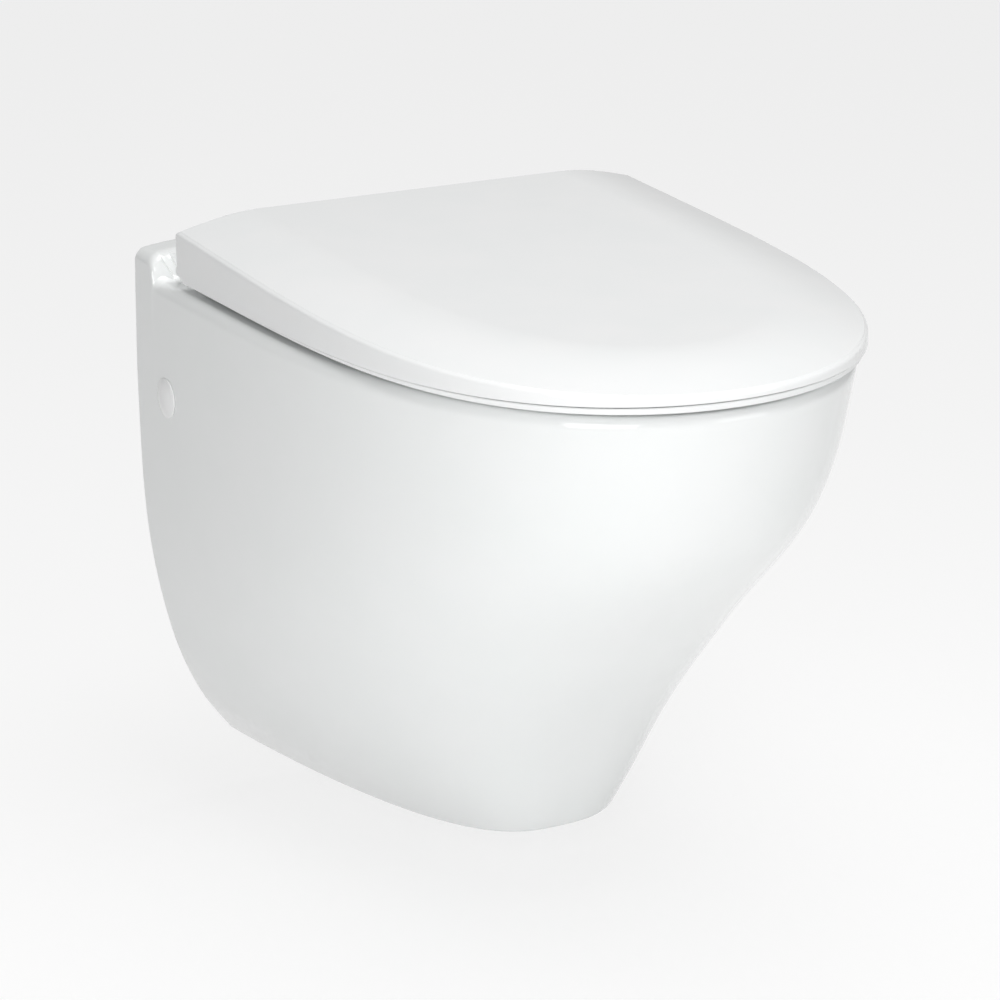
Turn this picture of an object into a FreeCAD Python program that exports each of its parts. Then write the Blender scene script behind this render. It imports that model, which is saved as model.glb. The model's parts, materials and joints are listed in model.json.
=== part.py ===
"""Wall hung toilet with a soft-closing seat and lid, as separate pieces.

Origin: midway between the two wall studs, on the wall's face. +X is the toilet's right as seen by
someone facing it, +Y points into the wall, +Z is up. Millimetres.
"""

import FreeCAD, Part
import math
import os

Vector = FreeCAD.Vector
up = Vector(0, 0, 1)
os.makedirs("parts", exist_ok=True)

# ---- driving dimensions -------------------------------------------------------------------------

# wall connections, the usual set for a wall hung pan
stud_spacing = 180.0
stud_hole_radius = 6.5
inlet_above_studs = 35.0
outlet_below_studs = 100.0
rim_above_studs = 78.0
inlet_bore_radius = 28.0
outlet_spigot_radius = 51.0
inlet_wall = 9.0
inlet_tube_length = 175.0
inlet_bore_depth = 110.0
flush_slot = (34.0, 2.0, 20.0)
spigot_length = 46.0
spigot_setback = 6.0

# the pan's outer form: (distance below the rim, size) on two smooth curves
rear_half_width = [
    (-45, 185.0),
    (0, 188.0),
    (90, 189.2),
    (190, 184.8),
    (270, 169.0),
    (320, 148.5),
    (355, 124.0),
]
front_reach = [
    (-45, 490.0),
    (0, 487.0),
    (100, 450.5),
    (200, 358.5),
    (280, 298.5),
    (355, 270.0),
]
pan_height = 355.0
side_squareness = (4.0, 1.1)
nose_bluntness = (2.0, 2.83)
china_wall = 11.0
rim_thickness = 13.0
wall_flange = 20.0
wall_flange_depth = 15.0
rim_edge_radius = 8.0
foot_edge_radius = 3.0

# the ledge against the wall, above the rim
ledge_height = 21.0
ledge_end_height = 16.5
ledge_depth = 20.0
ledge_run = 37.0

# the bowl: (distance below the rim, front, rear, half width)
bowl_sections = [
    (-4, 446, 171, 117),
    (8, 446, 171, 117),
    (26, 453, 164, 124),
    (52, 444, 170, 118),
    (100, 405, 184, 100),
    (150, 361, 193, 79),
    (200, 314, 197, 57),
    (250, 276, 194, 42),
    (304, 258, 192, 33),
]
bowl_rows_inside_only = (1, 5, 7)
bowl_mouth_easing = [(-1.0, 5.2), (0.0, 4.2), (1.3, 1.9), (4.5, 0.0), (5.5, 0.0)]
bowl_wall = 10.0
sump_depth = 301.0
sump_reach = 225.0
trap_radius = 36.0
trap_bend_radius = 70.0
trap_rise_angle = 60.0

# seat and lid: outline, then heights above the rim
lid_half_width = 180.0
lid_rear = 53.0
lid_front = 489.3
lid_squareness = 4.5
lid_skirt_bottom = (5.1, 8.9)
lid_crease = (39.0, 13.8)
lid_crown = 10.8
lid_crown_run = 62.0
lid_wall = 4.0
lid_hem_radius = 13.0
seat_inset = 2.5
seat_bottom = 3.2
seat_top = 15.5
seat_crown = [(8.0, 7.6), (12.0, 10.8), (20.0, 13.4), (28.0, 14.9), (36.0, 15.5)]
seat_wall = (14.0, 8.0)
seat_rear_end = 38.5
seat_ring_rear = 76.0
seat_opening = (430.0, 208.0, 108.0)
seat_channel_top = 9.5
seat_bar = (6.6, 13.0)
seat_bar_corner = 12.0
lid_seat_gap = 0.7

# rubber buffers: (x, y) of each, under the seat and under the lid
seat_front_buffers = [(-104.0, -398.0), (104.0, -398.0)]
seat_rear_buffers = [(-143.0, -150.0), (143.0, -150.0)]
lid_buffer_places = [(-100.0, -395.0), (100.0, -395.0)]
lid_buffer_top = 20.0
seat_buffer_radius = 10.0
lid_buffer_radius = 7.0
buffer_stem_radius = 3.0
stem_hole_radius = 3.05

# the hinge: axis, holes in the china, and the barrels along the axis, from the middle outwards
hinge_axis_reach = 52.0
hinge_axis_height = 22.0
hinge_hole_spacing = 155.0
hinge_hole_reach = 62.0
hinge_hole_radius = 7.0
hinge_pin_radius = 4.0
running_clearance = 0.05
barrel_radius = 8.5
lid_barrel = (22.0, 64.0)
post_barrel = (65.0, 90.0)
seat_barrel = (91.0, 133.0)
damper_radius = 6.0
damper_length = 34.0
hinge_foot_radius = 19.0
hinge_foot_height = 3.2
hinge_stub = (8.0, 8.0)
hinge_notch = (57.0, 98.0)
hinge_bolt_radius = 3.0
bolt_head = (5.2, 2.9)
sleeve_radius = 6.8
sleeve_length = 34.0
expansion_nut_size = (9.0, 9.0)

# the hidden wall fixing, reached through a hole in each side of the pan
fixing_reach = 50.0
fixing_block_size = (36.0, 60.0, 40.0)
fixing_arm_end = 128.0
washer_size = (12.0, 2.5)
stud_nut_size = (19.0, 10.0)
stud_thread_radius = 6.0
screw_radius = 4.0
screw_end = 103.0
screw_head = (6.4, 176.5, 182.0)
side_hole_radius = 11.0
side_sleeve_span = (172.0, 188.0)
side_cap_radius = 14.2
side_cap_face = 189.3
side_cap_dome = 2.6

rim_z = rim_above_studs
foot_z = rim_z - pan_height
axis_y = -hinge_axis_reach
axis_z = rim_z + hinge_axis_height
hinge_x = hinge_hole_spacing / 2
lid_span = lid_front - lid_rear
seat_buffer_places = seat_front_buffers + seat_rear_buffers
lid_boss_z = rim_z + lid_buffer_top
far = 600.0


# ---- helpers ------------------------------------------------------------------------------------


def smooth_curve(points):
    """A function of height on a smooth curve through (height, size) points."""
    xs = [p[0] for p in points]
    ys = [p[1] for p in points]
    last = len(xs) - 1

    def slope(i):
        low, high = max(i - 1, 0), min(i + 1, last)
        return (ys[high] - ys[low]) / (xs[high] - xs[low])

    def value(x):
        i = max(k for k in range(last) if k == 0 or xs[k] <= x)
        run = xs[i + 1] - xs[i]
        t = (x - xs[i]) / run
        rise = ys[i + 1] - ys[i]
        a = slope(i) * run - rise
        b = rise - slope(i + 1) * run
        return ys[i] + t * rise + t * (1 - t) * (a * (1 - t) + b * t)

    return value


half_width_at = smooth_curve(rear_half_width)
reach_at = smooth_curve(front_reach)


def box(x0, x1, y0, y1, z0, z1):
    return Part.makeBox(x1 - x0, y1 - y0, z1 - z0, Vector(x0, y0, z0))


def rod(radius, start, end):
    """A round bar from one point to another."""
    run = end - start
    return Part.makeCylinder(radius, run.Length, start, run)


def tube(outer, inner, start, end):
    over = (end - start).normalize() * 1.0
    return rod(outer, start, end).cut(rod(inner, start - over, end + over))


def prism(points, x0, x1):
    """A flat (y, z) outline carried from x0 to x1."""
    wire = Part.makePolygon([Vector(x0, y, z) for y, z in points + points[:1]])
    return Part.Face(wire).extrude(Vector(x1 - x0, 0, 0))


def rounded_rod(radius, start, end, edge):
    """A round bar whose far end has its edge broken by a small bevel."""
    bar = rod(radius, start, end)
    last = [e for e in bar.Edges if e.Closed and e.CenterOfMass.distanceToPoint(end) < 0.01]
    return bar.makeChamfer(edge, last)


def hexagon(centre, across_flats, u, v):
    """A six sided outline about a centre, in the plane of the two unit vectors u and v."""
    radius = across_flats / math.sqrt(3)
    corners = []
    for i in range(7):
        angle = math.pi / 3 * i
        corners.append(centre + u * (radius * math.cos(angle)) + v * (radius * math.sin(angle)))
    return Part.Face(Part.makePolygon(corners))


def spline(points, closed=False):
    curve = Part.BSplineCurve()
    curve.interpolate(Points=points, PeriodicFlag=closed)
    return curve.toShape()


def half_outline(half, rear, front, squareness, bluntness, steps=12):
    """Points of one half of a toilet's plan outline, from the rear to the nose."""
    points = []
    for i in range(steps + 1):
        angle = math.pi / 2 * i / steps
        x = half * math.cos(angle) ** (2 / bluntness) if i < steps else 0.0
        y = rear + (front - rear) * math.sin(angle) ** (2 / squareness)
        points.append((x, -y))
    return points


def plan_wire(half, rear, front, squareness, bluntness, height, back=None):
    """A closed plan outline, straight across the back. height is a number or a function of y."""

    def z_at(y):
        return height(y) if callable(height) else height

    right = half_outline(half, rear, front, squareness, bluntness)
    points = [Vector(x, y, z_at(y)) for x, y in right]
    mirrored = [Vector(-p.x, p.y, p.z) for p in reversed(points[:-1])]
    nose = spline(points + mirrored)
    back_y = -rear if back is None else back
    corners = [Vector(-half, -rear, z_at(-rear)), Vector(half, -rear, z_at(-rear))]
    if back_y != -rear:
        corners = [
            corners[0],
            Vector(-half, back_y, z_at(back_y)),
            Vector(half, back_y, z_at(back_y)),
            corners[1],
        ]
    edges = [Part.makeLine(a, b) for a, b in zip(corners, corners[1:])]
    return Part.Wire([nose] + edges)


def egg_wire(front, rear, half, z, steps=24):
    """A closed oval in plan, a little square at its ends."""
    middle, long = -(front + rear) / 2, (front - rear) / 2
    points = []
    for i in range(steps):
        angle = 2 * math.pi * i / steps
        c, s = math.cos(angle), math.sin(angle)
        x = math.copysign(abs(c) ** (2 / 2.2), c) * half
        y = math.copysign(abs(s) ** (2 / 2.2), s) * long
        points.append(Vector(x, middle + y, z))
    return Part.Wire([spline(points, closed=True)])


def save(shape, node):
    shape.removeSplitter().exportStep(f"parts/{node}.step")


# ---- the china pan ------------------------------------------------------------------------------


def pan_loft(inset, top, bottom, back, count=8, straight=False):
    """The pan's outer form, drawn in by inset, between two distances below the rim."""
    wires = []
    for i in range(count):
        depth = top + (bottom - top) * i / (count - 1)
        share = min(max(depth / pan_height, 0.0), 1.0)
        squareness = side_squareness[0] + (side_squareness[1] - side_squareness[0]) * share
        bluntness = nose_bluntness[0] + (nose_bluntness[1] - nose_bluntness[0]) * share
        wires.append(
            plan_wire(
                half_width_at(depth) - inset,
                0.0,
                reach_at(depth) - inset,
                squareness,
                bluntness,
                rim_z - depth,
                back,
            )
        )
    return Part.makeLoft(wires, True, straight)


def s_curve(start, end):
    """Two equal arcs, level at both ends, from one (y, z) point down to the next."""
    run, drop = start[0] - end[0], start[1] - end[1]
    radius = (run * run + drop * drop) / (4 * drop)
    turn = math.asin(run / 2 / radius) / 2
    across, down = radius * math.sin(turn), radius * (1 - math.cos(turn))
    middle = ((start[0] + end[0]) / 2, (start[1] + end[1]) / 2)
    upper, lower = (start[0] - across, start[1] - down), (end[0] + across, end[1] + down)
    a, b, c, d, e = [Vector(-far / 2, y, z) for y, z in (start, upper, middle, lower, end)]
    return [Part.Arc(a, b, c).toShape(), Part.Arc(c, d, e).toShape()]


def well_over_rim():
    """What is cut away above the rim: forward of the ledge, with an S curve down its face."""
    high = rim_z + ledge_height
    crest, foot = (-ledge_depth, high), (-ledge_run, rim_z)
    corners = [foot, (-far, rim_z), (-far, high + far), (20, high + far), (20, high), crest]
    corners = [Vector(-far / 2, y, z) for y, z in corners]
    edges = s_curve(crest, foot) + [Part.makeLine(a, b) for a, b in zip(corners, corners[1:])]
    return Part.Face(Part.Wire(edges)).extrude(Vector(far, 0, 0))


def ledge_crown():
    """What the ledge's top loses towards its two ends, where it falls away softly."""
    high, low = rim_z + ledge_height, rim_z + ledge_end_height
    half, level, above = rear_half_width[0][1] + 10, 140.0, high + 30
    shape = [(-half, low), (-level, high), (level, high), (half, low), (half, above), (-half, above)]
    a, b, c, d, e, f = [Vector(x, 20, z) for x, z in shape]
    fall = (high - low) * 0.3
    ends = [
        Part.Arc(a, (a + b) / 2 + Vector(0, 0, fall), b).toShape(),
        Part.makeLine(b, c),
        Part.Arc(c, (c + d) / 2 + Vector(0, 0, fall), d).toShape(),
    ]
    sides = [Part.makeLine(p, q) for p, q in ((d, e), (e, f), (f, a))]
    return Part.Face(Part.Wire(ends + sides)).extrude(Vector(0, -80, 0))


def trap_path():
    """The trapway's centre line: back from the sump, up over the weir, level to the wall."""
    rise = math.radians(trap_rise_angle)
    radius = trap_bend_radius
    low, high = rim_z - sump_depth, -outlet_below_studs
    straight = (high - low - 2 * radius * (1 - math.cos(rise))) / math.sin(rise)
    across = 2 * radius * math.sin(rise) + straight * math.cos(rise)
    y0 = -sump_reach
    y1 = y0 + 33.0
    a = Vector(0, y1, low)

    def on_arc(centre, angle):
        return centre + Vector(0, math.sin(angle), -math.cos(angle)) * radius

    lower = a + Vector(0, 0, radius)
    b_mid, b = on_arc(lower, rise / 2), on_arc(lower, rise)
    c = b + Vector(0, math.cos(rise), math.sin(rise)) * straight
    d = Vector(0, y1 + across, high)
    upper = d - Vector(0, 0, radius)
    c_mid = upper + Vector(0, -math.sin(rise / 2), math.cos(rise / 2)) * radius
    edges = [
        Part.makeLine(Vector(0, y0, low), a),
        Part.Arc(a, b_mid, b).toShape(),
        Part.makeLine(b, c),
        Part.Arc(c, c_mid, d).toShape(),
        Part.makeLine(d, Vector(0, -6.0, high)),
    ]
    return Part.Wire(edges)


def trapway(radius):
    start = Vector(0, -sump_reach, rim_z - sump_depth)
    ring = Part.Wire([Part.Circle(start, Vector(0, 1, 0), radius).toShape()])
    return trap_path().makePipeShell([ring], True, False)


def bowl(grow):
    """The bowl, its sump and the trapway, grown outwards by the wall for their outsides."""
    wires = []
    for i, (depth, front, rear, half) in enumerate(bowl_sections):
        if grow and i in bowl_rows_inside_only:
            continue
        z = rim_z - max(depth, 1.0) if grow else rim_z - depth
        wires.append(egg_wire(front + grow, rear - grow, half + grow, z))
    body = Part.makeLoft(wires, True, grow > 0)
    centre = Vector(0, -sump_reach, rim_z - sump_depth)
    return [body, Part.makeSphere(trap_radius + grow, centre), trapway(trap_radius + grow)]


def mouth_easing():
    """The rounding of the rim's inner edge, where the bowl opens."""
    _, front, rear, half = bowl_sections[1]
    rings = [egg_wire(front + g, rear - g, half + g, rim_z - depth) for depth, g in bowl_mouth_easing]
    return Part.makeLoft(rings, True, True)


def toilet_pan():
    outer = pan_loft(0.0, -45.0, pan_height, 20.0)
    foot_edge = [e for e in outer.Edges if e.BoundBox.ZMax < foot_z + 0.01 and e.BoundBox.YMin < -100]
    outer = outer.makeFillet(foot_edge_radius, foot_edge)
    outer = outer.cut(well_over_rim()).cut(ledge_crown()).cut(box(-far, far, 0, far, -far, far))
    rim_edge = [e for e in outer.Edges if e.BoundBox.ZMin > rim_z - 0.01 and e.BoundBox.YMin < -200]
    outer = outer.makeFillet(rim_edge_radius, rim_edge)
    cavity = pan_loft(china_wall, rim_thickness, pan_height - china_wall, 20.0, 7, True)
    mouth = pan_loft(wall_flange, rim_thickness + 4, pan_height - wall_flange, 20.0, 7, True)
    cavity = cavity.common(box(-far, far, -far, -wall_flange_depth, -far, far))
    mouth = mouth.common(box(-far, far, -wall_flange_depth - 0.01, far, -far, far))
    pan = outer.cut(cavity).cut(mouth)

    inlet = Vector(0, 0, inlet_above_studs)
    outlet = Vector(0, 0, -outlet_below_studs)
    spigot_end = outlet - Vector(0, spigot_setback, 0)
    inlet_tube = rod(inlet_bore_radius + inlet_wall, inlet - Vector(0, inlet_tube_length, 0), inlet)
    spigot = rod(outlet_spigot_radius, spigot_end - Vector(0, spigot_length, 0), spigot_end)
    for solid in bowl(bowl_wall) + [inlet_tube, spigot]:
        pan = pan.fuse(solid)

    for solid in bowl(0.0):
        pan = pan.cut(solid)
    pan = pan.cut(mouth_easing())
    pan = pan.cut(rod(inlet_bore_radius, inlet - Vector(0, inlet_bore_depth, 0), inlet + Vector(0, 5, 0)))
    half, low, high = flush_slot
    rear = -inlet_bore_depth + 5
    pan = pan.cut(box(-half, half, -180, rear, inlet_above_studs + low, inlet_above_studs + high))
    flare_start = outlet - Vector(0, spigot_length, 0)
    flare = Part.makeCone(trap_radius, trap_radius + 7, spigot_length - 4, flare_start, Vector(0, 1, 0))
    pan = pan.cut(flare)
    for side in (-1, 1):
        hole = Vector(side * hinge_x, -hinge_hole_reach, rim_z)
        pan = pan.cut(rod(hinge_hole_radius, hole - Vector(0, 0, 40), hole + Vector(0, 0, 20)))
        inside, outside = Vector(side * 140, -fixing_reach, 0), Vector(side * 220, -fixing_reach, 0)
        pan = pan.cut(rod(side_hole_radius, inside, outside))
    return pan


# ---- lid and seat -------------------------------------------------------------------------------


def tilted(heights, raise_by=0.0):
    """Height above the studs on a plane that runs from the lid's rear edge to its nose."""
    rear, front = heights
    return lambda y: rim_z + raise_by + rear + (front - rear) * (-y - lid_rear) / lid_span


def lid_outline(inset, height, rear_inset=0.0):
    return plan_wire(
        lid_half_width - inset, lid_rear + rear_inset, lid_front - inset, lid_squareness, 2.0, height
    )


def stack(outlines, ruled=False):
    return Part.makeLoft(outlines, True, ruled)


def crown_at(inset):
    """How far the lid's top stands over its crease, this far in from the edge."""
    return lid_crown * math.sin(math.pi / 2 * min(inset / lid_crown_run, 1.0))


def lid_form(wall, bottom_drop):
    """The lid's outer form, or with a wall its hollow."""
    skirt = stack(
        [
            lid_outline(wall, tilted(lid_skirt_bottom, -bottom_drop), wall),
            lid_outline(wall, tilted(lid_crease, -wall), wall),
        ],
        ruled=True,
    )
    domes = []
    for inset in (0.0, 3.0, 8.0, 16.0, 27.0, 40.0, 52.0, lid_crown_run):
        rise = crown_at(inset)
        rear_lean = 5.0 * rise / lid_crown
        domes.append(lid_outline(wall + inset, tilted(lid_crease, rise - wall), wall + rear_lean))
    return skirt.fuse(stack(domes))


def corner_cutter():
    """What is missing from the lid's lower rear corner, so that it swings clear of the rim."""
    y, z, r = -lid_rear, rim_z + lid_skirt_bottom[0], lid_hem_radius
    block = box(-far, far, y - r, y + 5, z - 10, z + r)
    return block.cut(rod(r, Vector(-far, y - r, z + r), Vector(far, y - r, z + r)))


def hinge_rod(radius, span, side):
    """A round bar on the hinge axis, over a span measured from the middle of the toilet."""
    a, b = sorted((side * span[0], side * span[1]))
    return rod(radius, Vector(a, axis_y, axis_z), Vector(b, axis_y, axis_z))


def sided_prism(points, span, side):
    a, b = sorted((side * span[0], side * span[1]))
    return prism([(y, rim_z + z) for y, z in points], a, b)


def lid():
    shell = lid_form(0.0, 0.0).cut(lid_form(lid_wall, 12.0))
    shell = shell.cut(corner_cutter())
    opening_top = axis_z + barrel_radius + 2.5
    inner, outer = -lid_rear - lid_wall - 1, -lid_rear + 2
    shell = shell.cut(box(-142, 142, inner, outer, rim_z - 5, opening_top))
    inside = lid_half_width - lid_wall
    shell = shell.cut(box(-inside, inside, inner, outer, rim_z - 5, rim_z + seat_bar[1] + lid_seat_gap))
    arm = [(-58.5, 46.5), (-76, 46.5), (-59.5, 18), (-52, 22), (-53.6, 31), (-57, 40)]
    for side in (-1, 1):
        shell = shell.fuse(sided_prism(arm, (lid_barrel[0] + 1, lid_barrel[1] - 1), side))
        shell = shell.fuse(hinge_rod(barrel_radius, lid_barrel, side))
        bore = (lid_barrel[1] - damper_length, lid_barrel[1] + 0.5)
        shell = shell.cut(hinge_rod(damper_radius + running_clearance, bore, side))
    for x, y in lid_buffer_places:
        boss_top = tilted(lid_crease, lid_crown - lid_wall - 0.5)(y)
        foot = Vector(x, y, lid_boss_z)
        boss = rod(lid_buffer_radius + 2, foot, Vector(x, y, boss_top))
        shell = shell.fuse(boss).cut(rod(stem_hole_radius, foot - up, foot + up * 4))
    return shell


def lid_corner_room(side):
    """The room that the lid's skirt and its rounded rear corner need over the end of the seat."""
    x0, x1 = sorted((side * (lid_half_width - lid_wall - 3 * lid_seat_gap), side * 200.0))
    y, z = -lid_rear - lid_hem_radius, rim_z + lid_skirt_bottom[0] + lid_hem_radius
    reach = lid_hem_radius + lid_seat_gap
    room = box(x0, x1, -seat_ring_rear - 20, y + reach, z - reach, rim_z + 60)
    below_corner = box(x0, x1, y, y + reach, z - reach, z)
    below_corner = below_corner.cut(rod(reach, Vector(x0, y, z), Vector(x1, y, z)))
    return room.cut(below_corner)


def seat_ring():
    low = rim_z + seat_bottom
    flange_top = (lid_skirt_bottom[0] - 0.7, lid_skirt_bottom[1] - 1.7)
    flange = [lid_outline(seat_inset, low), lid_outline(seat_inset, tilted(flange_top))]
    ring = stack(flange, ruled=True)
    step, rise = seat_crown[0]
    ring = ring.fuse(stack([lid_outline(step, low), lid_outline(step, rim_z + rise)], ruled=True))
    ring = ring.fuse(stack([lid_outline(inset, rim_z + z) for inset, z in seat_crown]))
    front, rear, half = seat_opening
    hole_low, hole_high = seat_bottom + 1, seat_bottom + 8
    hole = [(seat_bottom - 2, 3), (hole_low, 0), (hole_high, 0), (seat_top - 1.5, 2), (seat_top + 1, 6)]
    rings = [egg_wire(front + g, rear - g, half + g, rim_z + z) for z, g in hole]
    ring = ring.cut(stack(rings, ruled=True))

    outer_wall, inner_wall = seat_wall
    underside = [lid_outline(outer_wall, rim_z - 1), lid_outline(outer_wall, rim_z + seat_channel_top)]
    channel = stack(underside, ruled=True)
    front, rear, half = front + inner_wall, rear - inner_wall, half + inner_wall
    kept = [egg_wire(front, rear, half, rim_z + z) for z in (-2, 20)]
    channel = channel.cut(stack(kept, ruled=True))
    channel = channel.cut(box(-far, far, -seat_ring_rear - 12, far, -far, far))
    for x, y in seat_buffer_places:
        post = rod(seat_buffer_radius + 2, Vector(x, y, rim_z - 2), Vector(x, y, rim_z + 20))
        channel = channel.cut(post)
    ring = ring.cut(channel)
    for x, y in seat_buffer_places:
        ring = ring.cut(rod(stem_hole_radius, Vector(x, y, rim_z), Vector(x, y, rim_z + 9)))

    # behind the ring a thinner bar runs back under the lid's rear edge to carry the barrels
    ring = ring.cut(box(-far, far, -seat_ring_rear, far, -far, far))
    bar_half = lid_half_width - seat_inset + 1
    bar_low, bar_high = rim_z + seat_bar[0], rim_z + seat_bar[1]
    bar = box(-bar_half, bar_half, -seat_ring_rear - 6, -seat_rear_end, bar_low, bar_high)
    corners = [e for e in bar.Edges if e.BoundBox.YMin > -seat_rear_end - 0.01 and e.BoundBox.ZLength > 1]
    bar = bar.makeFillet(seat_bar_corner, corners)
    tongue = -seat_rear_end - seat_bar_corner - 1
    rim = [e for e in bar.Edges if e.BoundBox.YMax > tongue and e.BoundBox.ZLength < 0.01]
    ring = ring.fuse(bar.makeChamfer(1.2, rim))
    for side in (-1, 1):
        ring = ring.cut(lid_corner_room(side))
    web = [(-60, 12.5), (-44, 12.5), (-46, 22), (-58, 22)]
    for side in (-1, 1):
        ring = ring.cut(sided_prism([(-86, -5), (-30, -5), (-30, 30), (-86, 30)], hinge_notch, side))
        ring = ring.fuse(sided_prism(web, seat_barrel, side))
        ring = ring.fuse(hinge_rod(barrel_radius, seat_barrel, side))
        bore = (seat_barrel[0] - 0.5, seat_barrel[0] + damper_length)
        ring = ring.cut(hinge_rod(damper_radius + running_clearance, bore, side))
    return ring


def buffer(x, y, low, high, radius, stem_top):
    """A soft pad with its stem pushed into a moulded boss above it."""
    pad = rounded_rod(radius, Vector(x, y, high), Vector(x, y, low), 0.6)
    return pad.fuse(rod(buffer_stem_radius, Vector(x, y, high - 0.5), Vector(x, y, stem_top)))


# ---- hinges -------------------------------------------------------------------------------------


def hinge_centre(side):
    return Vector(side * hinge_x, -hinge_hole_reach, rim_z)


def hinge_base(side):
    """The round foot of a hinge, screwed down through the china, with the stub that holds the post."""
    centre = hinge_centre(side)
    stub_radius, stub_top = hinge_stub
    base = rounded_rod(hinge_foot_radius, centre, centre + up * hinge_foot_height, 0.7)
    base = base.fuse(rod(stub_radius, centre + up, centre + up * stub_top))
    base = base.cut(rod(hinge_bolt_radius + 0.1, centre - up, centre + up * 10))
    return base.cut(rod(bolt_head[0] + 0.1, centre + up * (stub_top - 3), centre + up * 10))


def hinge_post(side):
    """The upright that carries the hinge pin, stepped back from its foot to the axis."""
    centre = hinge_centre(side)
    y = centre.y
    stub_radius, stub_top = hinge_stub
    foot = rod(stub_radius + 2.5, centre + up * hinge_foot_height, centre + up * 15)
    barrel_top = hinge_axis_height + 6
    lean = [(y - 9, 6), (y + 10.3, 6), (axis_y + 8.3, hinge_axis_height), (axis_y - 6, barrel_top)]
    web = sided_prism(lean, (hinge_x - 9.5, hinge_x + 9.5), side)
    post = foot.fuse(web).fuse(hinge_rod(barrel_radius, post_barrel, side))
    post = post.cut(rod(stub_radius + running_clearance, centre + up, centre + up * (stub_top + 0.2)))
    return post.cut(hinge_rod(hinge_pin_radius + 0.02, (post_barrel[0] - 1, post_barrel[1] + 1), side))


def hinge_bolt(side):
    """The socket headed bolt that runs down through the china into the expansion nut."""
    centre = hinge_centre(side)
    radius, height = bolt_head
    seat = hinge_stub[1] - 3
    head = rod(radius, centre + up * seat, centre + up * (seat + height))
    bolt = head.fuse(rod(hinge_bolt_radius, centre - up * 50, centre + up * (seat + 0.2)))
    socket = hexagon(centre + up * (seat + 1), 4.0, Vector(1, 0, 0), Vector(0, 1, 0))
    return bolt.cut(socket.extrude(up * height))


def expansion_sleeve(side):
    centre = hinge_centre(side)
    return tube(sleeve_radius, hinge_bolt_radius + 0.1, centre - up * sleeve_length, centre)


def expansion_nut(side):
    """The tapered nut that draws up under the rubber sleeve and swells it against the china."""
    wide, height = expansion_nut_size
    low = hinge_centre(side) - up * (sleeve_length + height)
    cone = Part.makeCone(wide, sleeve_radius, height, low)
    return cone.cut(rod(hinge_bolt_radius + running_clearance, low - up, low + up * (height + 1)))


def hinge_pin(side):
    return hinge_rod(hinge_pin_radius, (lid_barrel[1] - 12, seat_barrel[0] + 12), side)


def barrel_filler(side, barrel, inward, collar):
    """What fills a barrel's bore round the pin: a damper cartridge, or a plain bush."""
    start = barrel[1] if inward else barrel[0]
    step = -1 if inward else 1
    body = hinge_rod(damper_radius, (start, start + step * (damper_length - 0.5)), side)
    hole = hinge_rod(hinge_pin_radius + running_clearance, (start - step, start + step * 12.5), side)
    body = body.cut(hole)
    if collar:
        groove = (start + step * 20, start + step * 23)
        ring = hinge_rod(damper_radius + 1, groove, side).cut(hinge_rod(damper_radius - 0.8, groove, side))
        body = body.cut(ring)
    return body


# ---- the hidden wall fixing ---------------------------------------------------------------------


def fixing_block(side):
    """The block that clamps on a wall stud and takes the screw that comes in from the side."""
    width, length, height = fixing_block_size
    middle = side * stud_spacing / 2
    block = box(middle - width / 2, middle + width / 2, -length, 0, -height / 2, height / 2)
    block = block.makeFillet(4.0, [e for e in block.Edges if e.BoundBox.YLength > length - 1])
    a0, a1 = sorted((side * (stud_spacing / 2 + 10), side * fixing_arm_end))
    arm = box(a0, a1, -length, -fixing_reach + 12, -11, 11)
    block = block.fuse(arm.makeFillet(3.0, [e for e in arm.Edges if e.BoundBox.XLength > 20]))
    stud = Vector(middle, 0, 0)
    block = block.cut(rod(stud_hole_radius, stud + Vector(0, 5, 0), stud - Vector(0, 80, 0)))
    start, end = side_point(side, screw_end - 1), side_point(side, fixing_arm_end + 2)
    return block.cut(rod(screw_radius + running_clearance, start, end))


def side_point(side, x):
    """A point on the side screw's axis."""
    return Vector(side * x, -fixing_reach, 0)


def stud_washer(side):
    radius, thickness = washer_size
    seat = Vector(side * stud_spacing / 2, -fixing_block_size[1], 0)
    return tube(radius, stud_hole_radius, seat - Vector(0, thickness, 0), seat)


def stud_nut(side):
    across_flats, height = stud_nut_size
    seat = Vector(side * stud_spacing / 2, -fixing_block_size[1] - washer_size[1], 0)
    nut = hexagon(seat, across_flats, Vector(1, 0, 0), up).extrude(Vector(0, -height, 0))
    return nut.cut(rod(stud_thread_radius, seat + Vector(0, 1, 0), seat - Vector(0, height + 1, 0)))


def side_screw(side):
    """The slotted screw that draws the pan sideways on to the fixing block."""
    head_radius, head_seat, head_top = screw_head
    shank = rod(screw_radius, side_point(side, screw_end), side_point(side, head_seat + 0.5))
    head = rod(head_radius, side_point(side, head_seat), side_point(side, head_top))
    x0, x1 = sorted((side * (head_top - 2.5), side * (head_top + 2)))
    return shank.fuse(head).cut(box(x0, x1, -fixing_reach - 0.8, -fixing_reach + 0.8, -8, 8))


def side_sleeve(side):
    """The bush that keeps the screw off the china, with a seat for the screw's head."""
    start, end = side_sleeve_span
    body = rod(side_hole_radius - 0.1, side_point(side, start), side_point(side, end))
    body = body.cut(rod(screw_radius + 0.3, side_point(side, start - 2), side_point(side, end + 2)))
    return body.cut(rod(screw_head[0] + 0.6, side_point(side, screw_head[1]), side_point(side, end + 2)))


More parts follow.
